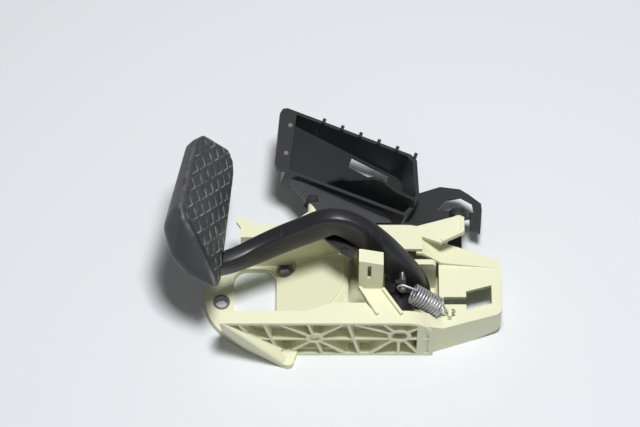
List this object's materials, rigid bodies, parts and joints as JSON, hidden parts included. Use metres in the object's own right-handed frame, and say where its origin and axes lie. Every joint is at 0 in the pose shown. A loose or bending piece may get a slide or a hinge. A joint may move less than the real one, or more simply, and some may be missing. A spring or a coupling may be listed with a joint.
{
  "type": "brake pedal",
  "caption": "Brake pedal with a swept black lever and treaded rubber pad, in a cream ribbed moulded bracket with a coil return spring and a side carrier tray.",
  "frame": {"origin": "centre of the circle of studs, on the face that lies against the bulkhead", "axes": "+Z out of the bulkhead face, +X from the foot pad towards the pivot and the end box, -Y the side of the open truss cheek"},
  "size_m": [0.238, 0.1783, 0.1073],
  "materials": {
    "cream_nylon": "moulded satin",
    "dull_steel": "dull",
    "black_paint": "satin, worn at the edges",
    "bush_plastic": "smooth",
    "plated_steel": "zinc plated",
    "orange_plastic": "smooth",
    "pad_rubber": "worn grey on raised edges",
    "spring_steel": "bright drawn wire",
    "black_plastic": "moulded, half gloss"
  },
  "bodies": {
    "root": {"bracket": "cream_nylon", "stud_sleeves": "dull_steel", "pivot_bolt": "plated_steel", "pivot_washer": "plated_steel", "pivot_nut": "plated_steel", "return_spring": "spring_steel", "stop_buffer": "pad_rubber", "carrier_tray": "black_plastic", "tray_screws": "plated_steel"},
    "pedal": {"pedal_arm": "black_paint", "hub_plate": "black_paint", "pivot_tube": "black_paint", "bush_near": "bush_plastic", "bush_far": "bush_plastic", "clevis_plate": "black_paint", "clevis_pin": "plated_steel", "pin_clip": "orange_plastic", "pad_plate": "black_paint", "pad_rubber": "pad_rubber", "spring_pin": "plated_steel"}
  },
  "joints": [
    {"name": "pedal_pivot", "type": "hinge", "parent": "root", "child": "pedal", "pos_m": [0.0957, 0, 0.0284], "axis": [0, -1, 0], "range_deg": [0, 14], "stiffness_Nm_per_rad": 3, "springref_deg": -28.65, "deforming": ["return_spring"]}
  ]
}
